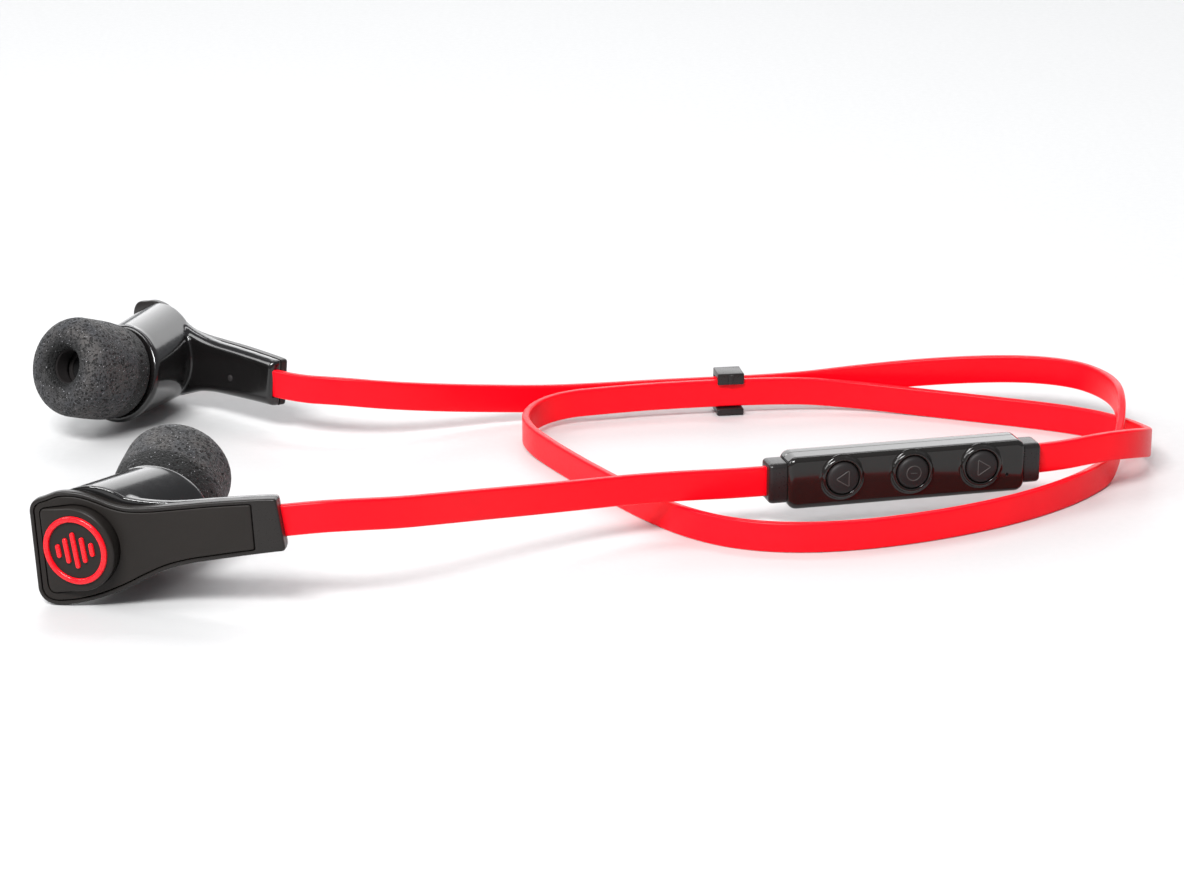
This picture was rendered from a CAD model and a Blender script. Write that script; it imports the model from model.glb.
import bpy
import bmesh
import math
import numpy as np
from mathutils import Vector, Matrix, noise


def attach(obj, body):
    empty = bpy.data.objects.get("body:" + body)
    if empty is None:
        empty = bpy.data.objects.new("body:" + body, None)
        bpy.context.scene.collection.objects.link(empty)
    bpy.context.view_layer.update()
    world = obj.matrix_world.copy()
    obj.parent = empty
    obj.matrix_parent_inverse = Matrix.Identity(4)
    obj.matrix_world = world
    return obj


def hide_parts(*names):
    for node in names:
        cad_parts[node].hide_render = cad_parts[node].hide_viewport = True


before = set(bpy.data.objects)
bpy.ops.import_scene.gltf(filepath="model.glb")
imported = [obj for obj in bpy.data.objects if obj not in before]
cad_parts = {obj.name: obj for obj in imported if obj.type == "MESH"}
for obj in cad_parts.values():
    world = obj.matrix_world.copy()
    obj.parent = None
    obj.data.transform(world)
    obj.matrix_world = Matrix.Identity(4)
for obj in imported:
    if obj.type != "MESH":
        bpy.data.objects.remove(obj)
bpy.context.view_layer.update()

MM = 0.001
HEAD = "headset"

# ------------------------------------------------------------------- camera
cam_data = bpy.data.cameras.new("camera")
cam = bpy.data.objects.new("camera", cam_data)
bpy.context.scene.collection.objects.link(cam)
cam.location = (0.00847, -0.36910, 0.12575)
cam.rotation_euler = (math.radians(72.0), 0.0, 0.0)
cam_data.sensor_fit = "HORIZONTAL"
cam_data.sensor_width = 36.0
cam_data.lens = 3300.0 / 1184.0 * 36.0
cam_data.clip_start, cam_data.clip_end = 0.01, 20.0
bpy.context.scene.camera = cam
bpy.context.scene.view_settings.view_transform = "Standard"
bpy.context.scene.view_settings.look = "None"


# -------------------------------------------------------------- mesh helpers
def link(o):
    bpy.context.scene.collection.objects.link(o)
    return o


def make(name, verts, faces, mat, sharp=35.0, recalc=True):
    me = bpy.data.meshes.new(name)
    me.from_pydata([tuple(v) for v in verts], [], [tuple(f) for f in faces])
    bm = bmesh.new()
    bm.from_mesh(me)
    bmesh.ops.remove_doubles(bm, verts=bm.verts, dist=1e-7)
    if recalc:
        bmesh.ops.recalc_face_normals(bm, faces=bm.faces)
    bm.to_mesh(me)
    bm.free()
    me.shade_smooth()
    if sharp:
        me.set_sharp_from_angle(angle=math.radians(sharp))
    me.materials.append(mat)
    return link(bpy.data.objects.new(name, me))


def apply_mods(o):
    dg = bpy.context.evaluated_depsgraph_get()
    me = bpy.data.meshes.new_from_object(o.evaluated_get(dg))
    old = o.data
    o.modifiers.clear()
    o.data = me
    bpy.data.meshes.remove(old)


def loft(rings, close_start=True, close_end=True):
    """Stack of closed rings with equal counts -> verts, faces."""
    n = len(rings[0])
    verts = [p for r in rings for p in r]
    faces = []
    for i in range(len(rings) - 1):
        for j in range(n):
            k = (j + 1) % n
            faces.append((i * n + j, i * n + k, (i + 1) * n + k, (i + 1) * n + j))
    if close_start:
        faces.append(tuple(range(n))[::-1])
    if close_end:
        faces.append(tuple(range((len(rings) - 1) * n, len(rings) * n)))
    return verts, faces


def lathe(profile, seg=96, closed=True):
    """Profile of (r, s) turned about s; the axis end points may have r = 0."""
    verts, faces, rows = [], [], []
    for r, s in profile:
        if r < 1e-6:
            rows.append([len(verts)])
            verts.append((0.0, 0.0, s))
        else:
            row = []
            for j in range(seg):
                a = 2 * math.pi * j / seg
                row.append(len(verts))
                verts.append((r * math.cos(a), r * math.sin(a), s))
            rows.append(row)
    pairs = [(i, i + 1) for i in range(len(rows) - 1)]
    if closed:
        pairs.append((len(rows) - 1, 0))
    for i, k in pairs:
        A, B = rows[i], rows[k]
        if len(A) == 1 and len(B) == 1:
            continue
        for j in range(seg):
            m = (j + 1) % seg
            if len(A) == 1:
                faces.append((A[0], B[j], B[m]))
            elif len(B) == 1:
                faces.append((A[j], A[m], B[0]))
            else:
                faces.append((A[j], A[m], B[m], B[j]))
    return verts, faces


def frame_of(axis, up=(0, 0, 1)):
    w = Vector(axis).normalized()
    u = Vector(up).cross(w)
    if u.length < 1e-6:
        u = Vector((1, 0, 0))
    u.normalize()
    return u, w.cross(u), w


def place(verts, base, axis, up=(0, 0, 1)):
    u, v, w = frame_of(axis, up)
    b = Vector(base)
    return [b + u * p[0] + v * p[1] + w * p[2] for p in verts]


def smooth_line(pts, per=10):
    """Centripetal curve through the points of an open run."""
    P = [np.array(p, float) for p in pts]
    P = [2 * P[0] - P[1]] + P + [2 * P[-1] - P[-2]]
    out = []
    for i in range(1, len(P) - 2):
        p0, p1, p2, p3 = P[i - 1:i + 3]
        t0 = 0.0
        t1 = t0 + np.linalg.norm(p1 - p0) ** 0.5
        t2 = t1 + np.linalg.norm(p2 - p1) ** 0.5
        t3 = t2 + np.linalg.norm(p3 - p2) ** 0.5
        for k in range(per):
            t = t1 + (t2 - t1) * k / per
            a1 = (t1 - t) / (t1 - t0) * p0 + (t - t0) / (t1 - t0) * p1
            a2 = (t2 - t) / (t2 - t1) * p1 + (t - t1) / (t2 - t1) * p2
            a3 = (t3 - t) / (t3 - t2) * p2 + (t - t2) / (t3 - t2) * p3
            b1 = (t2 - t) / (t2 - t0) * a1 + (t - t0) / (t2 - t0) * a2
            b2 = (t3 - t) / (t3 - t1) * a2 + (t - t1) / (t3 - t1) * a3
            out.append((t2 - t) / (t2 - t1) * b1 + (t - t1) / (t2 - t1) * b2)
    out.append(P[-2])
    return out


# ----------------------------------------------------------------- materials
def material(name, base, rough=0.4, metallic=0.0, **kw):
    """Node material: colour mottling, roughness variation and fine bump."""
    m = bpy.data.materials.new(name)
    m.use_nodes = True
    nt = m.node_tree
    b = nt.nodes["Principled BSDF"]
    b.inputs["Metallic"].default_value = metallic
    b.inputs["IOR"].default_value = kw.get("ior", 1.5)
    b.inputs["Specular IOR Level"].default_value = kw.get("spec", 0.5)
    if kw.get("coat"):
        b.inputs["Coat Weight"].default_value = kw["coat"]
        b.inputs["Coat Roughness"].default_value = kw.get("coat_rough", 0.05)
    if kw.get("sheen"):
        b.inputs["Sheen Weight"].default_value = kw["sheen"]
        b.inputs["Sheen Roughness"].default_value = 0.4
    if kw.get("sss"):
        b.inputs["Subsurface Weight"].default_value = kw["sss"]
        b.inputs["Subsurface Radius"].default_value = (0.0012, 0.0004, 0.0003)
        b.inputs["Subsurface Scale"].default_value = 1.0
    tc = nt.nodes.new("ShaderNodeTexCoord")
    n1 = nt.nodes.new("ShaderNodeTexNoise")
    n1.inputs["Scale"].default_value = kw.get("mottle", 220.0)
    n1.inputs["Detail"].default_value = 6.0
    nt.links.new(tc.outputs["Object"], n1.inputs["Vector"])
    ramp = nt.nodes.new("ShaderNodeValToRGB")
    v = kw.get("vary", 0.12)
    ramp.color_ramp.elements[0].position = 0.3
    ramp.color_ramp.elements[1].position = 0.7
    ramp.color_ramp.elements[0].color = [c * (1 - v) for c in base] + [1]
    ramp.color_ramp.elements[1].color = [min(1, c * (1 + v)) for c in base] + [1]
    nt.links.new(n1.outputs["Fac"], ramp.inputs["Fac"])
    nt.links.new(ramp.outputs["Color"], b.inputs["Base Color"])
    n2 = nt.nodes.new("ShaderNodeTexNoise")
    n2.inputs["Scale"].default_value = kw.get("grain", 5200.0)
    n2.inputs["Detail"].default_value = 3.0
    nt.links.new(tc.outputs["Object"], n2.inputs["Vector"])
    mr = nt.nodes.new("ShaderNodeMapRange")
    rv = kw.get("rough_vary", 0.12)
    mr.inputs["From Min"].default_value = 0.3
    mr.inputs["From Max"].default_value = 0.7
    mr.inputs["To Min"].default_value = max(0.02, rough * (1 - rv))
    mr.inputs["To Max"].default_value = min(1.0, rough * (1 + rv))
    nt.links.new((n2 if kw.get("fine_rough", True) else n1).outputs["Fac"], mr.inputs["Value"])
    nt.links.new(mr.outputs["Result"], b.inputs["Roughness"])
    bump = nt.nodes.new("ShaderNodeBump")
    bump.inputs["Strength"].default_value = kw.get("bump", 0.15)
    bump.inputs["Distance"].default_value = kw.get("bump_d", 0.00003)
    nt.links.new(n2.outputs["Fac"], bump.inputs["Height"])
    nt.links.new(bump.outputs["Normal"], b.inputs["Normal"])
    m.diffuse_color = (*base, 1)
    return m, nt, b


M = {}
M["satin"] = material("satin_shell", (0.015, 0.013, 0.012), 0.30, mottle=160, vary=0.10, bump=0.16, spec=0.26)[0]
M["plate"] = material("cover_satin", (0.017, 0.0145, 0.013), 0.38, mottle=120, vary=0.10, bump=0.25, spec=0.17)[0]
M["gloss"] = material("piano_black", (0.006, 0.0055, 0.0055), 0.16, mottle=90, vary=0.2, grain=900,
                      bump=0.02, bump_d=0.00001, spec=0.42, coat=0.35, coat_rough=0.08)[0]
M["key_gloss"] = material("remote_black", (0.010, 0.009, 0.008), 0.13, mottle=120, vary=0.15, grain=1200,
                          bump=0.02, bump_d=0.00001, spec=0.34, coat=0.22, coat_rough=0.05)[0]
M["rubber"] = material("matt_rubber", (0.017, 0.015, 0.015), 0.50, bump=0.4, grain=6500, spec=0.25)[0]
M["icon"] = material("icon_grey", (0.060, 0.057, 0.055), 0.45, bump=0.2, spec=0.3)[0]
M["trim"] = material("satin_trim", (0.014, 0.012, 0.012), 0.30, bump=0.2, grain=4000, spec=0.34)[0]
M["metal"] = material("steel", (0.55, 0.55, 0.56), 0.28, 1.0, bump=0.1)[0]
M["copper"] = material("copper_wire", (0.60, 0.28, 0.14), 0.3, 1.0, bump=0.5, grain=9000)[0]
M["mesh_dark"] = material("dark_mesh", (0.020, 0.020, 0.021), 0.40, 0.6, bump=0.5, grain=9000)[0]
M["film"] = material("film", (0.50, 0.47, 0.40), 0.35)[0]
M["inner"] = material("inner_plastic", (0.09, 0.09, 0.09), 0.5)[0]
M["board"] = material("solder_mask", (0.02, 0.13, 0.05), 0.3, mottle=900, vary=0.4)[0]


def red_material(name, base, rough, emblem=False):
    m, nt, b = material(name, base, rough, mottle=260, vary=0.04, grain=2600, bump=0.10 if not emblem else 0.02,
                        bump_d=0.00002, spec=0.14 if not emblem else 0.30, coat=0.07 if not emblem else 0.30,
                        coat_rough=0.25 if not emblem else 0.10)
    return m, nt, b


M["red"], _nt, _b = red_material("silicone_red", (0.94, 0.0012, 0.010), 0.36)
_b.inputs["Sheen Weight"].default_value = 0.03
_b.inputs["Sheen Roughness"].default_value = 0.5
_b.inputs["Sheen Tint"].default_value = (1.0, 0.45, 0.5, 1)
_b.inputs["Subsurface Weight"].default_value = 0.08
_b.inputs["Subsurface Radius"].default_value = (0.0010, 0.0002, 0.0002)
_b.inputs["Subsurface Scale"].default_value = 1.0
M["emblem"] = red_material("emblem_red", (0.90, 0.002, 0.010), 0.28, True)[0]


def foam_material():
    m, nt, b = material("memory_foam", (0.085, 0.085, 0.090), 0.62, mottle=420, vary=0.35,
                        grain=7000, bump=1.0, bump_d=0.00017, rough_vary=0.1, spec=0.35)
    tc = [n for n in nt.nodes if n.type == "TEX_COORD"][0]
    ramp = [n for n in nt.nodes if n.type == "VALTORGB"][0]
    ramp.color_ramp.elements[0].color = (0.023, 0.025, 0.029, 1)
    ramp.color_ramp.elements[1].color = (0.045, 0.041, 0.039, 1)
    pit = nt.nodes.new("ShaderNodeAttribute")
    pit.attribute_name = "pit"
    vor = nt.nodes.new("ShaderNodeTexVoronoi")
    vor.inputs["Scale"].default_value = 4200.0
    nt.links.new(tc.outputs["Object"], vor.inputs["Vector"])
    vr = nt.nodes.new("ShaderNodeMapRange")
    vr.inputs["From Min"].default_value = 0.05
    vr.inputs["From Max"].default_value = 0.45
    vr.inputs["To Min"].default_value = 0.35
    vr.inputs["To Max"].default_value = 1.25
    nt.links.new(vor.outputs["Distance"], vr.inputs["Value"])
    inv = nt.nodes.new("ShaderNodeMath")
    inv.operation = "SUBTRACT"
    inv.inputs[0].default_value = 1.0
    nt.links.new(pit.outputs["Fac"], inv.inputs[1])
    mul = nt.nodes.new("ShaderNodeMath")
    mul.operation = "MULTIPLY"
    nt.links.new(vr.outputs["Result"], mul.inputs[0])
    nt.links.new(inv.outputs[0], mul.inputs[1])
    # open cells in two sizes: dark pits with a lit edge

    def cells(scale, r0, r1, off):
        ad = nt.nodes.new("ShaderNodeVectorMath")
        ad.operation = "ADD"
        ad.inputs[1].default_value = off
        nt.links.new(tc.outputs["Object"], ad.inputs[0])
        vo = nt.nodes.new("ShaderNodeTexVoronoi")
        vo.inputs["Scale"].default_value = scale
        nt.links.new(ad.outputs["Vector"], vo.inputs["Vector"])
        nz = nt.nodes.new("ShaderNodeTexNoise")
        nz.inputs["Scale"].default_value = scale * 0.45
        nt.links.new(tc.outputs["Object"], nz.inputs["Vector"])
        su = nt.nodes.new("ShaderNodeMath")
        su.operation = "MULTIPLY_ADD"
        nt.links.new(nz.outputs["Fac"], su.inputs[0])
        su.inputs[1].default_value = 0.6
        nt.links.new(vo.outputs["Distance"], su.inputs[2])
        rg = nt.nodes.new("ShaderNodeMapRange")
        rg.interpolation_type = "SMOOTHSTEP"
        rg.inputs["From Min"].default_value = r0
        rg.inputs["From Max"].default_value = r1
        nt.links.new(su.outputs[0], rg.inputs["Value"])
        return rg.outputs["Result"]

    both = nt.nodes.new("ShaderNodeMath")
    both.operation = "MULTIPLY"
    nt.links.new(cells(2100.0, 0.54, 0.70, (0.001, 0.002, 0.003)), both.inputs[0])
    nt.links.new(cells(3600.0, 0.50, 0.66, (0.004, 0.001, 0.002)), both.inputs[1])
    dark = nt.nodes.new("ShaderNodeMapRange")
    dark.inputs["To Min"].default_value = 0.10
    dark.inputs["To Max"].default_value = 1.0
    nt.links.new(both.outputs[0], dark.inputs["Value"])
    mul2 = nt.nodes.new("ShaderNodeMath")
    mul2.operation = "MULTIPLY"
    nt.links.new(mul.outputs[0], mul2.inputs[0])
    nt.links.new(dark.outputs["Result"], mul2.inputs[1])
    mul = mul2
    bump = [n for n in nt.nodes if n.type == "BUMP"][0]
    grain = bump.inputs["Height"].links[0].from_socket
    hh = nt.nodes.new("ShaderNodeMath")
    hh.operation = "MULTIPLY_ADD"
    nt.links.new(grain, hh.inputs[0])
    hh.inputs[1].default_value = 0.35
    nt.links.new(both.outputs[0], hh.inputs[2])
    nt.links.new(hh.outputs[0], bump.inputs["Height"])
    # sparse bright specks where cell walls catch the light
    sp = nt.nodes.new("ShaderNodeTexVoronoi")
    sp.inputs["Scale"].default_value = 2300.0
    nt.links.new(tc.outputs["Object"], sp.inputs["Vector"])
    sr = nt.nodes.new("ShaderNodeMapRange")
    sr.inputs["From Min"].default_value = 0.05
    sr.inputs["From Max"].default_value = 0.15
    sr.inputs["To Min"].default_value = 1.0
    sr.inputs["To Max"].default_value = 0.0
    nt.links.new(sp.outputs["Distance"], sr.inputs["Value"])
    mix = nt.nodes.new("ShaderNodeMix")
    mix.data_type = "RGBA"
    mix.blend_type = "MULTIPLY"
    mix.inputs["Factor"].default_value = 1.0
    nt.links.new(ramp.outputs["Color"], mix.inputs["A"])
    nt.links.new(mul.outputs[0], mix.inputs["B"])
    mix2 = nt.nodes.new("ShaderNodeMix")
    mix2.data_type = "RGBA"
    nt.links.new(sr.outputs["Result"], mix2.inputs["Factor"])
    nt.links.new(mix.outputs["Result"], mix2.inputs["A"])
    mix2.inputs["B"].default_value = (0.42, 0.42, 0.44, 1)
    nt.links.new(mix2.outputs["Result"], b.inputs["Base Color"])
    b.inputs["Sheen Weight"].default_value = 0.04
    b.inputs["Sheen Roughness"].default_value = 0.6
    return m


M["foam"] = foam_material()

# --------------------------------------------------------------------- cords
CORD_W, CORD_T = 3.50, 0.90
LONG = [
    (-0.03214, 0.02382, 0.00635), (-0.02813, 0.02051, 0.00635), (-0.02273, 0.01900, 0.00650),
    (-0.01713, 0.01940, 0.00585), (-0.01103, 0.02200, 0.00475), (-0.00453, 0.02530, 0.00360),
    (0.00287, 0.02760, 0.00285), (0.00987, 0.02890, 0.00280), (0.01737, 0.03044, 0.00280),
    (0.03349, 0.03291, 0.00280), (0.04197, 0.03390, 0.00360), (0.04997, 0.03340, 0.00460),
    (0.05797, 0.03210, 0.00545), (0.06427, 0.03065, 0.00585), (0.06917, 0.02835, 0.00590),
    (0.07170, 0.02480, 0.00590), (0.07295, 0.02050, 0.00595), (0.07307, 0.01600, 0.00585),
    (0.07260, 0.01150, 0.00480), (0.07145, 0.00690, 0.00300), (0.06987, 0.00250, 0.00180),
    (0.06697, -0.00190, 0.00175), (0.06337, -0.00610, 0.00175), (0.05867, -0.01030, 0.00175),
    (0.05287, -0.01430, 0.00175), (0.04607, -0.01780, 0.00175), (0.03827, -0.02060, 0.00175),
    (0.03077, -0.02150, 0.00175), (0.02427, -0.02000, 0.00175), (0.01917, -0.01620, 0.00175),
    (0.01497, -0.01090, 0.00175), (0.01107, -0.00460, 0.00175), (0.00707, 0.00220, 0.00175),
    (0.00347, 0.00890, 0.00180), (0.00102, 0.01380, 0.00195), (0.00002, 0.01840, 0.00212),
    (0.00152, 0.02300, 0.00235), (0.00497, 0.02600, 0.00260), (0.00987, 0.02715, 0.00276),
    (0.01776, 0.02925, 0.00280), (0.03367, 0.03168, 0.00280), (0.04147, 0.03185, 0.00215),
    (0.04907, 0.03000, 0.00178), (0.05647, 0.02720, 0.00175), (0.06367, 0.02440, 0.00175),
    (0.06937, 0.02165, 0.00175), (0.07357, 0.01820, 0.00175), (0.07540, 0.01390, 0.00210),
    (0.07562, 0.00920, 0.00305), (0.07430, 0.00480, 0.00445), (0.07167, 0.00110, 0.00550),
    (0.06767, -0.00165, 0.00590), (0.06237, -0.00393, 0.00555), (0.05694, -0.00531, 0.00550)]
SHORT = [
    (0.03136, -0.01183, 0.00550), (0.02516, -0.01341, 0.00550), (0.01887, -0.01500, 0.00575),
    (0.01267, -0.01710, 0.00600), (0.00687, -0.02020, 0.00640), (0.00147, -0.02410, 0.00715),
    (-0.00353, -0.02860, 0.00820), (-0.00803, -0.03290, 0.00920), (-0.01223, -0.03635, 0.00995),
    (-0.01678, -0.03888, 0.01060), (-0.02133, -0.03994, 0.01068), (-0.02593, -0.03931, 0.00993)]


def centreline(name, pts):
    """Points read from the smooth spline that has the route's points as control points."""
    cu = bpy.data.curves.new(name, "CURVE")
    cu.dimensions = "3D"
    sp = cu.splines.new("NURBS")
    sp.points.add(len(pts) - 1)
    for p, q in zip(sp.points, pts):
        p.co = (*q, 1.0)
    sp.order_u = 3
    sp.use_endpoint_u = True
    sp.resolution_u = 14
    o = link(bpy.data.objects.new(name, cu))
    bpy.context.view_layer.update()
    dg = bpy.context.evaluated_depsgraph_get()
    me = bpy.data.meshes.new_from_object(o.evaluated_get(dg))
    out = [Vector(v.co) for v in me.vertices]
    bpy.data.meshes.remove(me)
    bpy.data.objects.remove(o)
    bpy.data.curves.remove(cu)
    return out


def ribbon_section():
    hw, ht, r = CORD_W / 2 * MM, CORD_T / 2 * MM, 0.27 * MM
    out = []
    for cx, cy, a0 in ((ht - r, hw - r, 0), (-ht + r, hw - r, 90), (-ht + r, -hw + r, 180), (ht - r, -hw + r, 270)):
        for k in range(6):
            a = math.radians(a0 + 90 * k / 5)
            out.append((cx + r * math.cos(a), cy + r * math.sin(a)))
        # support points on the flat that follows the corner
        nx = {0: (-ht + r, hw), 90: (-ht, -hw + r), 180: (ht - r, -hw), 270: (ht, hw - r)}[a0]
        p = out[-1]
        for t in ((0.12, 0.5, 0.88) if a0 in (90, 270) else (0.5,)):
            out.append((p[0] + (nx[0] - p[0]) * t, p[1] + (nx[1] - p[1]) * t))
    return out


def ribbon(name, pts, body=HEAD):
    line = centreline(name + "_line", pts)
    sec = ribbon_section()
    rings = []
    n = len(line)
    for i, p in enumerate(line):
        t = (line[min(i + 1, n - 1)] - line[max(i - 1, 0)]).normalized()
        up = (Vector((0, 0, 1)) - t * t.z).normalized()
        side = up.cross(t)
        rings.append([p + side * a + up * b for a, b in sec])
    v, f = loft(rings)
    o = make(name, v, f, M["red"], sharp=50)
    return o, line


cord_a, line_a = ribbon("neck_cord_long", LONG)
cord_b, line_b = ribbon("neck_cord_short", SHORT)
for o, n in ((cord_a, "cord_long"), (cord_b, "cord_short")):
    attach(o, HEAD)
    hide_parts(n)

# ----------------------------------------------------------------- earpieces
TOP = [(-2.4, 6.15), (-0.8, 6.50), (0.6, 6.42), (2.0, 6.05), (3.4, 5.40),
       (4.9, 4.58), (6.4, 4.02), (8.6, 3.72), (12.0, 3.60), (16.0, 3.50),
       (20.0, 3.28), (23.2, 3.05)]
TOP_INNER = [(-2.0, 5.30), (0.0, 5.85), (2.4, 5.90), (4.2, 5.55), (5.8, 4.95), (7.6, 4.38),
             (9.4, 3.98), (11.0, 3.74), (12.6, 3.62), (14.8, 3.54), (17.4, 3.42),
             (20.0, 3.28), (23.2, 3.05)]
BOTTOM = [(23.2, -2.75), (20.0, -2.77), (16.0, -2.86), (12.0, -3.02),
          (9.6, -3.38), (7.2, -4.10), (4.7, -4.98), (1.6, -5.75),
          (-1.0, -6.06), (-2.6, -6.02)]
STEM_END, DEPTH = 22.8, 1.10
TILT = math.radians(13.4)
NB, ND = Vector((5.60, 10.96, -0.80)), Vector((0.0700, 0.9700, 0.2325)).normalized()


def run_inset(pts, d):
    out = []
    n = len(pts)
    for i, (x, z) in enumerate(pts):
        a, b = pts[max(i - 1, 0)], pts[min(i + 1, n - 1)]
        tx, tz = b[0] - a[0], b[1] - a[1]
        q = math.hypot(tx, tz)
        out.append((x + tz / q * d, z - tx / q * d))
    return out


def resample(pts, n):
    P = np.array(pts, float)
    s = np.concatenate([[0], np.cumsum(np.linalg.norm(np.diff(P, axis=0), axis=1))])
    t = np.linspace(0, s[-1], n)
    return [(float(np.interp(q, s, P[:, 0])), float(np.interp(q, s, P[:, 1]))) for q in t]


def clip_end(pts, x_end, last_first):
    """Cut a run at x = x_end at its far end."""
    P = list(pts) if not last_first else list(pts)[::-1]
    out = [P[0]]
    for a, b in zip(P, P[1:]):
        if b[0] > x_end:
            k = (x_end - a[0]) / (b[0] - a[0])
            out.append((x_end, a[1] + (b[1] - a[1]) * k))
            break
        out.append(b)
    return out if not last_first else out[::-1]


def corner3(a, m, b, n):
    """Smooth corner from a to b that bulges through m, without its last point."""
    out = []
    for k in range(n):
        t = k / n
        # quadratic that passes through m at the half
        c = (2 * m[0] - 0.5 * (a[0] + b[0]), 2 * m[1] - 0.5 * (a[1] + b[1]))
        out.append(((1 - t) ** 2 * a[0] + 2 * t * (1 - t) * c[0] + t * t * b[0],
                    (1 - t) ** 2 * a[1] + 2 * t * (1 - t) * c[1] + t * t * b[1]))
    return out


def outline(d, end_x, crest=None, slant=0.0, end_r=0.0):
    """Closed outline as (x, z): top run, end, bottom run, left corners."""
    top = clip_end([tuple(p) for p in smooth_line(run_inset(crest or TOP, d), 10)], end_x, False)
    bot = clip_end([tuple(p) for p in smooth_line(run_inset(BOTTOM, d), 10)], end_x - slant, True)
    l_top, l_bot = (-4.18 + d, 4.35), (-4.98 + d, -3.95)
    m_top = (-3.72 + 0.75 * d, 5.62 - 0.68 * d)
    m_bot = (-4.32 + 0.72 * d, -5.42 + 0.70 * d)
    pts = resample(top, 91)[:-1]
    if end_r > 0:
        a, b = top[-1], bot[0]
        c1 = [(a[0] - end_r * (1 - math.sin(q)), a[1] - end_r * (1 - math.cos(q))) for q in
              [math.pi / 2 * k / 5 for k in range(6)]]
        c2 = [(b[0] - end_r * (1 - math.cos(q)), b[1] + end_r * (1 - math.sin(q))) for q in
              [math.pi / 2 * k / 5 for k in range(6)]]
        pts = resample(clip_end(top, a[0] - end_r, False), 85)[:-1] + c1 + resample([c1[-1], c2[0]], 10)[1:-1] + c2
        pts += resample(clip_end(bot, b[0] - end_r, True), 85)[1:-1]
    else:
        pts += resample([top[-1], bot[0]], 13)[:-1]
        pts += resample(bot, 91)[:-1]
    pts += corner3(bot[-1], m_bot, l_bot, 14)
    pts += resample([l_bot, l_top], 17)[:-1]
    pts += corner3(l_top, m_top, top[0], 14)
    return pts


SIDES = {
    "right": dict(O=(-46.6, -38.35, 6.452), X=(0.9778878826, -0.1337801053, 0.1607425656),
                  Y=(0.1384383056, 0.9902058921, -0.0180866406), Z=(-0.1567486029, 0.0399396352, 0.9868306344)),
    "left": dict(O=(-47.08, 38.55, 6.008), X=(0.7705132428, -0.6374239897, 0.0),
                 Y=(-0.6339553337, -0.7663203579, 0.1041813033), Z=(0.0664076620, 0.0802730738, 0.9945583221)),
}
for s in SIDES.values():
    for k in "OXYZ":
        s[k] = Vector(s[k])


def to_world(side, pts):
    s = SIDES[side]
    return [(s["O"] + s["X"] * p[0] + s["Y"] * p[1] + s["Z"] * p[2]) * MM for p in pts]


def ring_at(out, y):
    return [(x, y, z) for x, z in out]


def face_y(x):
    """Front face of the boss: y where its tilted plane is at x."""
    return -(x + 3.66) * math.tan(TILT)


def boss_outline(d):
    """D-shaped outline of the boss, inset by d."""
    R = 4.70 - d
    cx, cz = 0.2, 0.20
    pts = [(cx + R * math.sin(a), cz + R * math.cos(a)) for a in np.linspace(0, math.pi, 61)]
    tl, bl = (-2.98 + d, 4.10), (-3.66 + d, -3.40)
    pts += resample([pts[-1], (-2.90, cz - R)], 14)[1:]
    pts += corner3((-2.90, cz - R), (-3.50 + 0.7 * d, -4.22 + 0.7 * d), bl, 10)[1:]
    pts += resample([bl, tl], 24)[:-1]
    pts += corner3(tl, (-2.80 + 0.7 * d, 4.70 - 0.7 * d), (-2.25, cz + R), 10)
    pts += resample([(-2.25, cz + R), pts[0]], 12)[:-1]
    return pts


def fillet_rings(r, steps=6):
    """(inset, drop) pairs of a rounded edge of radius r, from the side to the face."""
    return [(r * (1 - math.cos(a)), r * (1 - math.sin(a))) for a in np.linspace(0, math.pi / 2, steps)]


def tray(side):
    R = []
    for k, y in ((0.40, DEPTH), (0.20, DEPTH - 0.06), (0.07, DEPTH - 0.18), (0.0, DEPTH - 0.36)):
        out = outline(0.0, STEM_END, end_r=0.35)
        R.append([(x - (x - 2.0) * 0.09 * k * (1 if x < 2 else 0) * 1.0, y, z * (1 - 0.075 * k * max(0.0, min(1.0, (3.5 - x) / 4.0)))) for x, z in out])
    for d, y in ((0.0, 0.45), (0.0, 0.26), (0.02, 0.15), (0.07, 0.065), (0.14, 0.015), (0.22, 0.0)):
        R.append(ring_at(outline(d, STEM_END - d, end_r=0.35), y))
    for d, y in ((0.36, 0.0), (0.42, 0.02), (0.455, 0.07), (0.46, 0.20), (0.46, 0.66)):
        R.append(ring_at(outline(d, 20.10 - (d - 0.40), slant=0.45, end_r=0.25), y))
    v, f = loft(R, close_start=False, close_end=True)
    # back of the tray: a plain floor behind it closes the moulding
    n = len(R[0])
    f.append(tuple(range(n)))
    o = make(side + "_tray", to_world(side, v), f, M["satin"], sharp=30)
    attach(o, HEAD)
    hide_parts(side + "_outer_shell")


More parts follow.
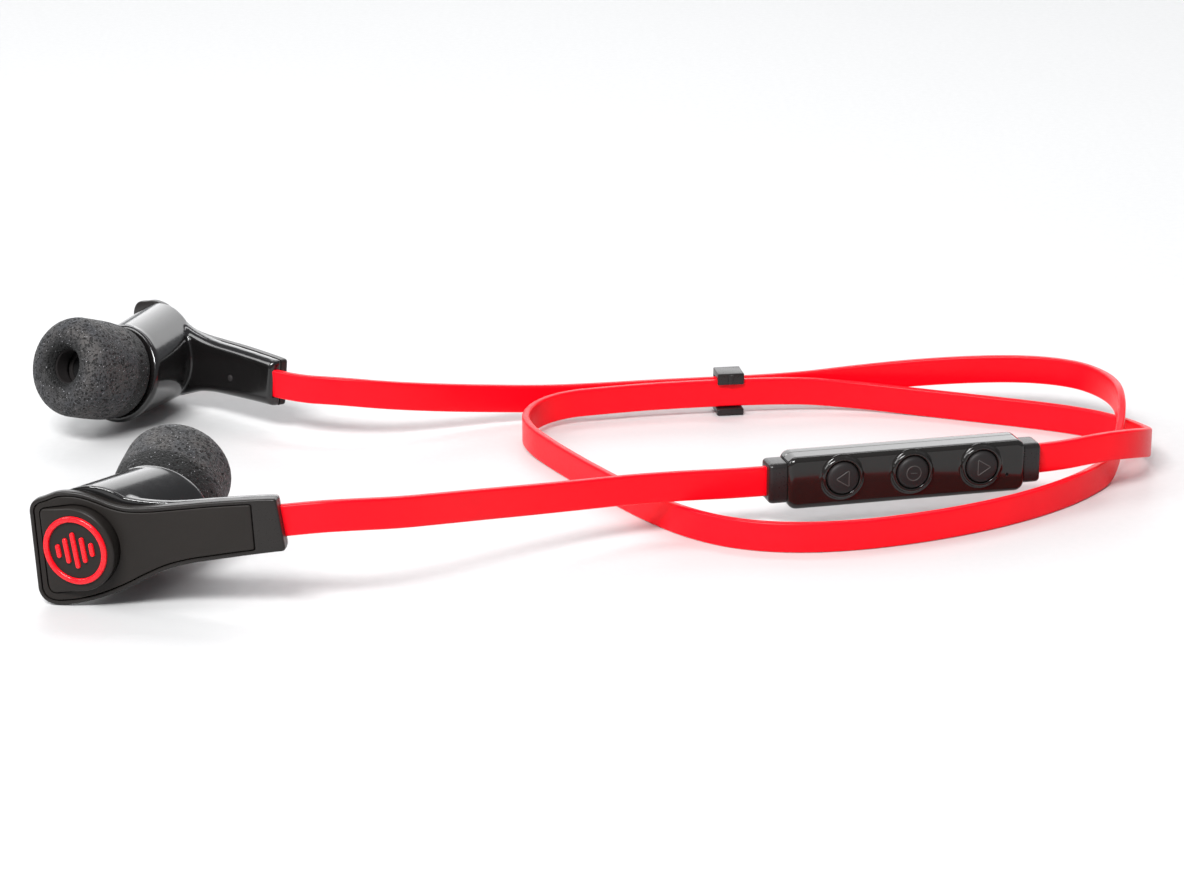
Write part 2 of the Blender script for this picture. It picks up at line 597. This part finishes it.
def cover(side):
    R = []
    for d, y in ((0.56, 0.63), (0.56, 0.20), (0.565, 0.13), (0.59, 0.065), (0.64, 0.025), (0.72, 0.012), (0.9, 0.008)):
        R.append(ring_at(outline(d, 19.95 - (d - 0.55), slant=0.45, end_r=0.22), y))
    v, f = loft(R)
    plate = make("tmpplate", v, f, M["plate"], sharp=0)
    v, f = loft([[(x, y, z) for x, z in boss_outline(-0.15)] for y in (-2.0, 0.50)])
    well = make("tmpwell", v, f, M["plate"], sharp=0)
    md = plate.modifiers.new("cut", "BOOLEAN")
    md.operation = "DIFFERENCE"
    md.solver = "EXACT"
    md.object = well
    apply_mods(plate)
    v = [Vector(q.co) for q in plate.data.vertices]
    f = [tuple(p.vertices) for p in plate.data.polygons]
    bpy.data.objects.remove(plate)
    bpy.data.objects.remove(well)
    # the boss stands in its own gap, its edge rounded
    Rb = []
    for d, y in ((0.0, 0.58), (0.0, 0.30)):
        Rb.append([(x, y, z) for x, z in boss_outline(d)])
    for d, drop in fillet_rings(0.34, 7):
        o2 = boss_outline(d)
        Rb.append([(x, face_y(x) - 0.03 + drop * min(1.0, max(0.22, (x + 3.66) / 2.4)), z) for x, z in o2])
    vb, fb = loft(Rb)
    n = len(v)
    v = v + vb
    f = f + [tuple(i + n for i in q) for q in fb]
    o = make(side + "_cover", to_world(side, v), f, M["plate"], sharp=38)
    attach(o, HEAD)
    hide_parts(side + "_cover_plate")


def emblem(side):
    nrm = Vector((-math.sin(TILT), -math.cos(TILT), 0))
    c = Vector((0.42, -(3.66 + 0.42) * math.tan(TILT) - 0.03, 0.22))
    prof = [(3.18, -0.05), (3.18, 0.14), (3.20, 0.22), (3.25, 0.285), (3.33, 0.325), (3.46, 0.34), (3.52, 0.34),
            (3.65, 0.325), (3.73, 0.285), (3.78, 0.22), (3.80, 0.14), (3.80, -0.05)]
    v, f = lathe(prof, 128)
    v = place(v, c, nrm)
    o = make(side + "_badge_ring", to_world(side, v), f, M["emblem"], sharp=60)
    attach(o, HEAD)
    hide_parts(side + "_emblem_ring")
    along = Vector((math.cos(TILT), -math.sin(TILT), 0))
    up = Vector((0, 0, 1))
    V_, F_ = [], []
    for i, h in enumerate((1.5, 2.8, 4.0, 2.8, 1.5)):
        base = c + along * ((i - 2) * 1.02)
        rings = []
        for w, s in ((0.25, -0.05), (0.25, 0.17), (0.235, 0.225), (0.195, 0.265), (0.13, 0.285)):
            a = h / 2 - 0.25
            pts = []
            for k in range(13):
                q = math.pi * k / 12
                pts.append((w * math.cos(q), a + w * math.sin(q)))
            for k in range(13):
                q = math.pi + math.pi * k / 12
                pts.append((w * math.cos(q), -a + w * math.sin(q)))
            rings.append([base + along * p[0] + up * p[1] + nrm * s for p in pts])
        v, f = loft(rings)
        n = len(V_)
        V_ += v
        F_ += [tuple(q + n for q in t) for t in f]
    o = make(side + "_badge_bars", to_world(side, V_), F_, M["emblem"], sharp=50)
    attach(o, HEAD)
    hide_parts(side + "_emblem_bars")


def chamber_shell(side):
    """Stem back and round sound chamber, blended into one glossy moulding."""
    parts = []
    # stem back, its inner edge well rounded
    R = []
    for d, y in ((0.05, DEPTH + 0.01), (0.03, 1.7)):
        R.append(ring_at(outline(d, STEM_END - d * 0.5, TOP_INNER, end_r=0.3), y))
    for d, drop in fillet_rings(0.95, 9):
        R.append(ring_at(outline(0.03 + d, STEM_END - 0.02 - min(d, 0.30), TOP_INNER, end_r=0.3), 2.75 - drop))
    R.append(ring_at(outline(1.6, STEM_END - 0.4, TOP_INNER, end_r=0.3), 2.75))
    v, f = loft(R)
    parts.append((v, f))
    v, f = loft([[(x, y, z) for y, z in ((0.0, -9.0), (8.0, -9.0), (8.0, 9.0), (0.0, 9.0))] for x in (-9.0, 1.2)])
    clipper = make("tmpclip", v, f, M["gloss"], sharp=0)
    # leaning barrel with a rounded shoulder
    BR0, BR1 = 6.20, 6.12
    c0 = Vector((1.72, DEPTH + 0.01, 0.35))
    c1 = NB + ND * 0.9
    rings = []
    N = 160

    def circle(c, nrm, r, ref):
        w = nrm.normalized()
        u = (ref - w * ref.dot(w)).normalized()
        q = w.cross(u)
        return [c + u * (r * math.cos(2 * math.pi * k / N)) + q * (r * math.sin(2 * math.pi * k / N)) for k in range(N)]

    ref = Vector((1, 0, 0))
    near, far = circle(c0, Vector((0, 1, 0)), BR0, ref), circle(c1, ND, BR1, ref)
    for k in range(21):
        t = k / 20.0
        rings.append([p.lerp(q, t) for p, q in zip(near, far)])
    for d, drop in fillet_rings(0.35, 5):
        rings.append(circle(NB + ND * (1.60 - drop), ND, BR1 - d, ref))
    rings.append(circle(NB + ND * 1.61, ND, 3.4, ref))
    v, f = loft(rings)
    parts.append((v, f))
    objs = []
    for i, (v, f) in enumerate(parts):
        objs.append(make("tmp%d" % i, v, f, M["gloss"], sharp=0))
    a, b = objs
    md = a.modifiers.new("clip", "BOOLEAN")
    md.operation = "DIFFERENCE"
    md.solver = "EXACT"
    md.object = clipper
    md = a.modifiers.new("join", "BOOLEAN")
    md.operation = "UNION"
    md.solver = "EXACT"
    md.object = b
    apply_mods(a)
    bpy.data.objects.remove(b)
    bpy.data.objects.remove(clipper)
    rm = a.modifiers.new("remesh", "REMESH")
    rm.mode = "VOXEL"
    rm.voxel_size = 0.15
    apply_mods(a)
    me = a.data
    n = len(me.vertices)
    co = np.zeros(n * 3)
    me.vertices.foreach_get("co", co)
    co = co.reshape(-1, 3)
    e = np.zeros(len(me.edges) * 2, int)
    me.edges.foreach_get("vertices", e)
    e = e.reshape(-1, 2)
    deg = np.bincount(e.ravel(), minlength=n).astype(float)
    keep = co.copy()
    # the front rim and the end face keep their place, the rest relaxes
    w = np.clip((co[:, 1] - (DEPTH + 0.15)) / 0.5, 0.0, 1.0)
    for it in range(26):
        acc = np.zeros_like(co)
        for ax in range(3):
            acc[:, ax] = np.bincount(e[:, 0], co[e[:, 1], ax], n) + np.bincount(e[:, 1], co[e[:, 0], ax], n)
        lap = acc / deg[:, None] - co
        f_ = 0.55 if it % 2 == 0 else -0.50
        co = co + lap * (f_ if it < 16 else 0.30) * (0.35 + 0.65 * w)[:, None]
    me.vertices.foreach_set("co", co.ravel())
    me.update()
    # cord slot in the end face and the hole for the nozzle
    v, f = loft([[(x, y, z) for y, z in ((1.37, -1.62), (2.33, -1.62), (2.33, 1.92), (1.37, 1.92))] for x in (20.9, 24.0)])
    sl = make("tmpslot", v, f, M["gloss"], sharp=0)
    v, f = lathe([(0.0, -1.0), (2.46, -1.0), (2.46, 4.0), (0.0, 4.0)], 64, closed=False)
    nz = make("tmpnz", place(v, NB, ND), f, M["gloss"], sharp=0)
    for c in (sl, nz):
        md = a.modifiers.new("cut", "BOOLEAN")
        md.operation = "DIFFERENCE"
        md.solver = "EXACT"
        md.object = c
    apply_mods(a)
    bpy.data.objects.remove(sl)
    bpy.data.objects.remove(nz)
    me = a.data
    verts = to_world(side, [Vector(q.co) for q in me.vertices])
    faces = [tuple(p.vertices) for p in me.polygons]
    bpy.data.objects.remove(a)
    o = make(side + "_chamber", verts, faces, M["gloss"], sharp=42)
    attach(o, HEAD)
    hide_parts(side + "_inner_shell")
    return o


def foam_tip(side, seed):
    prof = [(3.17, 1.98), (3.6, 1.93), (5.20, 1.84)]
    prof += [tuple(p) for p in smooth_line([(5.20, 1.84), (5.55, 2.12), (5.80, 2.95), (5.98, 3.90), (6.08, 4.80), (6.13, 5.7), (6.15, 6.6)], 6)][1:]
    prof += [(6.15, s) for s in np.linspace(6.75, 9.3, 20)]
    rr = 2.55
    for i in range(1, 34):
        a = math.pi / 2 * i / 34
        prof.append((6.15 - rr * (1 - math.cos(a)), 9.3 + 2.8 * math.sin(a)))
    prof += [(6.15 - rr, 12.1), (3.4, 12.09), (3.2, 12.06), (3.0, 12.0), (2.82, 11.90), (2.66, 11.77), (2.52, 11.6),
             (2.38, 11.4), (2.26, 11.2), (2.16, 11.02), (2.10, 10.88)]
    prof += [(2.9, 10.86), (3.17, 10.45)]
    # even spacing on the shown part
    P = np.array(prof)
    s = np.concatenate([[0], np.cumsum(np.linalg.norm(np.diff(P, axis=0), axis=1))])
    t = np.linspace(0, s[-1], 175)
    P = [(float(np.interp(q, s, P[:, 0])), float(np.interp(q, s, P[:, 1]))) for q in t]
    SEG = 340
    v, f = lathe(P, SEG, closed=True)
    V_ = np.array(v, float)
    Z_ = V_[:, 2]
    rad = np.hypot(V_[:, 0], V_[:, 1])
    pit = np.zeros(len(V_))
    out = []
    for i, (x, y, z) in enumerate(V_):
        inner = z < 2.0 and rad[i] < 4.9 or (z > 10.3 and z < 11.0 and rad[i] < 3.2)
        if inner:
            pit[i] = 0.97
            out.append((x, y, z))
            continue
        p = Vector((x * 1.0 + seed * 31.0, y * 1.0, z * 1.0))
        d1 = noise.voronoi(p * 1.25)[0][0]
        d2 = noise.voronoi(p * 2.7 + Vector((7, 3, 1)))[0][0]
        lump = noise.noise(p * 0.45)
        fine = noise.noise(p * 5.0)
        q1 = max(0.0, 1 - d1 / 0.26)
        q2 = max(0.0, 1 - d2 / 0.30)
        sel = 1.0 if noise.noise(p * 1.1 + Vector((9, 9, 9))) > -0.05 else 0.25
        depth = 0.21 * min(1, q1 * 1.8) * sel + 0.09 * min(1, q2 * 1.6)
        pit[i] = min(1.0, 0.95 * min(1, q1 * 1.6) * sel + 0.55 * min(1, q2 * 1.4))
        off = -depth + 0.018 * lump + 0.028 * fine
        # soft dark rim of the sound hole, and the back cone in shade
        if z > 10.0:
            pit[i] = max(pit[i], 0.96 * min(1.0, max(0.0, (4.3 - rad[i]) / 1.7)))
        pit[i] = max(pit[i], 0.97 * min(1.0, max(0.0, (5.0 - z) / 0.6)))
        # outward direction of the profile
        if z > 9.3:
            cz, cr = 9.3, 6.15 - 2.55
            n_ = Vector((x / max(rad[i], 1e-6) * (rad[i] - cr), y / max(rad[i], 1e-6) * (rad[i] - cr), (z - cz)))
            if rad[i] < cr:
                n_ = Vector((0, 0, 1)) if rad[i] > 2.9 else Vector((-x, -y, 2.0))
            n_.normalize()
        elif z < 6.0:
            n_ = Vector((x, y, -0.45 * rad[i])).normalized()
        else:
            n_ = Vector((x, y, 0)).normalized()
        out.append(tuple(Vector((x, y, z)) + n_ * off))
    u = place(out, NB, ND)
    o = make(side + "_foam", to_world(side, u), f, M["foam"], sharp=0)
    at = o.data.attributes.new("pit", "FLOAT", "POINT")
    if len(o.data.vertices) == len(pit):
        at.data.foreach_set("value", pit.astype(np.float32))
    body = side + "_ear_tip"
    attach(o, body)
    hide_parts(side + "_tip_foam")


for i, side in enumerate(("right", "left")):
    tray(side)
    cover(side)
    emblem(side)
    chamber_shell(side)
    foam_tip(side, i + 1)

# -------------------------------------------------------------------- remote
MO = Vector((44.66834, -10.60502, 5.5))
MX = Vector((0.96905883, 0.24682988, 0.0))
MY = Vector((-0.24682988, 0.96905883, 0.0))
H, HZ, RD = 14.35, 3.10, 4.20
BTN = [(0.45 - 8.40, 0.45), (0.45, 0.45), (0.45 + 8.40, 0.45)]


def rem_world(pts):
    return [(MO + MX * p[0] + MY * p[1] + Vector((0, 0, 1)) * p[2]) * MM for p in pts]


def round_rect(hx, hz, r, d=0.0, n=10, cx=0.0, cz=0.0):
    r2 = max(r - d, 0.02)
    out = []
    for sx_, sz_, a0 in ((1, 1, 0), (-1, 1, 90), (-1, -1, 180), (1, -1, 270)):
        for k in range(n + 1):
            a = math.radians(a0 + 90.0 * k / n)
            out.append((cx + sx_ * (hx - d - r2) + r2 * math.cos(a), cz + sz_ * (hz - d - r2) + r2 * math.sin(a)))
    return out


def cut(o, cutters):
    for c in cutters:
        md = o.modifiers.new("cut", "BOOLEAN")
        md.operation = "DIFFERENCE"
        md.solver = "EXACT"
        md.object = c
    apply_mods(o)
    for c in cutters:
        bpy.data.objects.remove(c)


def block(x0, x1, y0, y1, z0, z1):
    v, f = loft([[(x, y, z) for y, z in ((y0, z0), (y1, z0), (y1, z1), (y0, z1))] for x in (x0, x1)])
    return make("tmpblock", rem_world(v), f, M["gloss"], sharp=0)


def remote():
    R = [ring_at(round_rect(H, HZ, 1.15), 2.33), ring_at(round_rect(H, HZ, 1.15), 2.0), ring_at(round_rect(H, HZ, 1.15), 0.85)]
    for d, drop in fillet_rings(0.62, 9):
        R.append(ring_at(round_rect(H, HZ, 1.15, d), drop))
    R.append(ring_at(round_rect(H, HZ, 1.15, 0.75), 0.0))
    v, f = loft(R)
    o = make("remote_front", rem_world(v), f, M["key_gloss"], sharp=0)
    cuts = [block(-H + 0.65, H - 0.65, 0.70, 3.0, -HZ + 0.65, HZ - 0.65)]
    for bx, bz in BTN:
        v, f = lathe([(0, -1.0), (1.955, -1.0), (1.955, 2.0), (0, 2.0)], 72, closed=False)
        w = place(v, Vector((bx, 0, bz)), Vector((0, 1, 0)))
        cuts.append(make("tmpb", rem_world(w), f, M["key_gloss"], sharp=0))
    v, f = lathe([(0, -1.0), (0.2, -1.0), (0.2, 1.2), (0, 1.2)], 24, closed=False)
    cuts.append(make("tmpm", rem_world(place(v, Vector((12.1, 0, -0.9)), Vector((0, 1, 0)))), f, M["key_gloss"], sharp=0))
    for s in (-1, 1):
        cuts.append(block(min(s * H - 1, s * H + 1), max(s * H - 1, s * H + 1), 1.53, 2.67, -1.87, 1.87))
    cut(o, cuts)
    o.data.shade_smooth()
    o.data.set_sharp_from_angle(angle=math.radians(32))
    # flared collars round the buttons
    V_, F_ = [], []
    prof = [(1.955, 0.45), (1.955, -0.22), (1.985, -0.33), (2.05, -0.41), (2.14, -0.45), (2.25, -0.44), (2.35, -0.39),
            (2.42, -0.31), (2.47, -0.21), (2.53, -0.11), (2.62, -0.04), (2.74, -0.005), (2.74, 0.10), (2.4, 0.45)]
    for bx, bz in BTN:
        v, f = lathe(prof, 96)
        w = place(v, Vector((bx, 0, bz)), Vector((0, 1, 0)))
        n = len(V_)
        V_ += w
        F_ += [tuple(q + n for q in t) for t in f]
    c = make("remote_collars", rem_world(V_), F_, M["key_gloss"], sharp=60)
    R = [ring_at(round_rect(H, HZ, 1.15, 0.08), 2.36), ring_at(round_rect(H, HZ, 1.15, 0.0), 2.44),
         ring_at(round_rect(H, HZ, 1.15, 0.0), 3.0)]
    for d, drop in fillet_rings(0.90, 9):
        R.append(ring_at(round_rect(H, HZ, 1.15, d), RD - drop))
    R.append(ring_at(round_rect(H, HZ, 1.15, 1.0), RD))
    v, f = loft(R)
    b = make("remote_back", rem_world(v), f, M["key_gloss"], sharp=0)
    cuts = [block(-H + 0.65, H - 0.65, 1.5, 3.50, -HZ + 0.65, HZ - 0.65)]
    for s in (-1, 1):
        cuts.append(block(min(s * H - 1, s * H + 1), max(s * H - 1, s * H + 1), 1.53, 2.67, -1.87, 1.87))
    cut(b, cuts)
    b.data.shade_smooth()
    b.data.set_sharp_from_angle(angle=math.radians(32))
    for q, n in ((o, "remote_front_housing"), (b, "remote_rear_housing"), (c, None)):
        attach(q, HEAD)
        if n:
            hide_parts(n)
    # end sleeves
    for s, nm in ((-1, "remote_left_sleeve"), (1, "remote_right_sleeve")):
        R = []
        for d, x in ((0.0, 0.02), (0.0, 1.55), (0.03, 1.75), (0.10, 1.90), (0.20, 2.0), (0.34, 2.06), (0.60, 2.09), (1.12, 2.09), (1.12, 0.6)):
            rr = round_rect(1.65, 2.38, 0.6, d) if d < 1.1 else round_rect(0.55, 1.86, 0.25, 0.0)
            R.append([(s * (H + x), 2.10 + a, b_) for a, b_ in rr])
        v, f = loft(R)
        q = make(nm.replace("sleeve", "boot"), rem_world(v), f, M["trim"], sharp=35)
        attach(q, HEAD)
        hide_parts(nm)


def tube_path(pts, r, closed=True, seg=8):
    """Thin raised line along a flat closed path in the button's face plane."""
    n = len(pts)
    rings = []
    for i in range(n):
        a, b = Vector(pts[(i - 1) % n]), Vector(pts[(i + 1) % n])
        t = (b - a).normalized()
        u = Vector((0, 1, 0))
        w = t.cross(u).normalized()
        rings.append([Vector(pts[i]) + w * (r * math.cos(2 * math.pi * k / seg)) + u * (r * 0.6 * math.sin(2 * math.pi * k / seg)) for k in range(seg)])
    v = [p for q in rings for p in q]
    f = []
    for i in range(n if closed else n - 1):
        j = (i + 1) % n
        for k in range(seg):
            m = (k + 1) % seg
            f.append((i * seg + k, i * seg + m, j * seg + m, j * seg + k))
    if not closed:
        f.append(tuple(range(seg)))
        f.append(tuple(range((n - 1) * seg, n * seg)))
    return v, f


def buttons():
    names = (("volume_down_button", "volume_down_key"), ("function_button", "function_key"), ("volume_up_button", "volume_up_key"))
    for i, (nm, body) in enumerate(names):
        bx, bz = BTN[i]
        prof = [(0.0, -0.800), (0.5, -0.798), (0.95, -0.790), (1.28, -0.768), (1.50, -0.722), (1.66, -0.650), (1.78, -0.545),
                (1.85, -0.42), (1.88, -0.26), (1.88, 0.92), (1.90, 0.92), (1.90, 1.24), (0.55, 1.24), (0.55, 1.66), (0.0, 1.66)]
        v, f = lathe(prof, 80, closed=False)
        w = place(v, Vector((bx, 0, bz)), Vector((0, 1, 0)))
        o = make(nm.replace("button", "cap"), rem_world(w), f, M["rubber"], sharp=50)
        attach(o, body)
        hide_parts(nm)
        y = -0.790
        V_, F_ = [], []

        def add(pts, closed=True, r=0.065):
            v_, f_ = tube_path(pts, r, closed)
            n_ = len(V_)
            V_.extend(v_)
            F_.extend([tuple(q + n_ for q in t) for t in f_])

        if i != 1:
            s = -1 if i == 0 else 1
            tri = [(0.92 * s, 0.0), (-0.60 * s, 0.95), (-0.60 * s, -0.95)]
            pts = []
            for k in range(3):
                a, b = tri[k], tri[(k + 1) % 3]
                for t in np.linspace(0.05, 0.95, 9):
                    pts.append((bx + a[0] + (b[0] - a[0]) * t, y, bz + a[1] + (b[1] - a[1]) * t))
            add(pts)
        else:
            add([(bx + 0.86 * math.cos(a), y, bz + 0.86 * math.sin(a)) for a in np.linspace(0, 2 * math.pi, 41)[:-1]])
            add([(bx + q, y - 0.004, bz) for q in np.linspace(-0.42, 0.42, 7)], closed=False)
        ic = make(nm.replace("button", "icon"), rem_world(V_), F_, M["icon"], sharp=60)
        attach(ic, body)


def slider():
    C = Vector((25.77, 31.10, 2.80))
    SX = Vector((0.98848817, 0.15129819, 0.0))
    SY = Vector((-0.15129819, 0.98848817, 0.0))
    cy, cz, hh, wall = 1.25, 1.89, 2.75, 0.42
    lip = cz - 0.62
    # C-shaped section, as (y, z): open at the front below the upper lip
    yo = cy + wall
    sec = [(-yo, hh), (-yo, lip), (-cy, lip), (-cy, cz), (cy, cz), (cy, -cz), (-cy, -cz), (-yo, -cz), (-yo, -hh), (yo, -hh), (yo, hh)]
    v, f = loft([[(x, y, z) for y, z in sec] for x in (-1.7, 1.7)])
    w = [(C + SX * p[0] + SY * p[1] + Vector((0, 0, 1)) * p[2]) * MM for p in v]
    o = make("slider_clip", w, f, M["trim"], sharp=0)
    bv = o.modifiers.new("bevel", "BEVEL")
    bv.width = 0.16 * MM
    bv.segments = 4
    bv.limit_method = "ANGLE"
    apply_mods(o)
    v, f = [], []
    rings = []
    for x in (-0.34, -0.30, -0.18, 0.0, 0.18, 0.30, 0.34):
        g = 0.20 * math.sqrt(max(0.0, 1 - (x / 0.34) ** 2)) + 0.005
        rings.append([(x, -yo + 0.05, lip + 0.05), (x, -yo - g, lip + 0.12), (x, -yo - g, hh - 0.25), (x, -yo + 0.05, hh - 0.12)])
    v, f = loft(rings)
    w = [(C + SX * p[0] + SY * p[1] + Vector((0, 0, 1)) * p[2]) * MM for p in v]
    r = make("slider_rib", w, f, M["trim"], sharp=30)
    o.data.shade_smooth()
    o.data.set_sharp_from_angle(angle=math.radians(40))
    for q in (o, r):
        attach(q, "slider")
    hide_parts("cord_slider")


remote()
buttons()
slider()

# ------------------------------------------- CAD pieces that stay as they are
KEEP = {
    "vent_insert": "rubber", "nozzle": "rubber", "nozzle_mesh": "mesh_dark", "driver_frame": "metal",
    "driver_magnet": "metal", "voice_coil": "copper", "driver_diaphragm": "film", "cord_anchor": "inner",
    "tip_core": "rubber", "main_board": "board", "radio_module": "metal", "battery": "metal",
    "battery_board": "board", "remote_board": "board", "remote_switch_domes": "metal",
    "remote_microphone": "metal", "remote_cord_anchors": "inner"}
for name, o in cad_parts.items():
    key = name.replace("right_", "").replace("left_", "") if not name.startswith("remote") else name
    if key in KEEP:
        mat = M[KEEP[key]]
        if o.material_slots:
            for s_ in o.material_slots:
                s_.material = mat
        else:
            o.data.materials.append(mat)

# ------------------------------------------------------------- floor, lights
fm, fnt, fb = material("pale_floor", (0.55, 0.55, 0.55), 0.55, mottle=6, vary=0.012, grain=900, bump=0.03)
bm = bmesh.new()
bmesh.ops.create_grid(bm, x_segments=4, y_segments=4, size=3.0)
fme = bpy.data.meshes.new("floor")
bm.to_mesh(fme)
bm.free()
fme.materials.append(fm)
floor = link(bpy.data.objects.new("floor", fme))

world = bpy.data.worlds.new("world")
bpy.context.scene.world = world
world.use_nodes = True
world.node_tree.nodes["Background"].inputs["Color"].default_value = (0.92, 0.95, 1.0, 1)
world.node_tree.nodes["Background"].inputs["Strength"].default_value = 0.36


def area(name, loc, target, size, power, color=(1, 1, 1), size_y=None):
    d = bpy.data.lights.new(name, "AREA")
    d.energy = power
    d.color = color
    d.shape = "RECTANGLE"
    d.size = size
    d.size_y = size_y or size
    o = link(bpy.data.objects.new(name, d))
    o.location = loc
    o.rotation_euler = (Vector(target) - Vector(loc)).to_track_quat("-Z", "Y").to_euler()
    return o


area("key", (-0.16, -0.42, 0.50), (0.0, 0.0, 0.0), 0.32, 6.0, size_y=0.16)
area("strip", (0.06, 0.28, 0.46), (0.01, 0.0, 0.0), 0.50, 0.9, size_y=0.10)
area("back", (0.0, 0.90, 0.36), (0.0, 0.0, 0.02), 1.50, 5.6, size_y=0.50)
area("side", (-0.45, -0.05, 0.35), (-0.03, 0.0, 0.0), 0.25, 1.2)
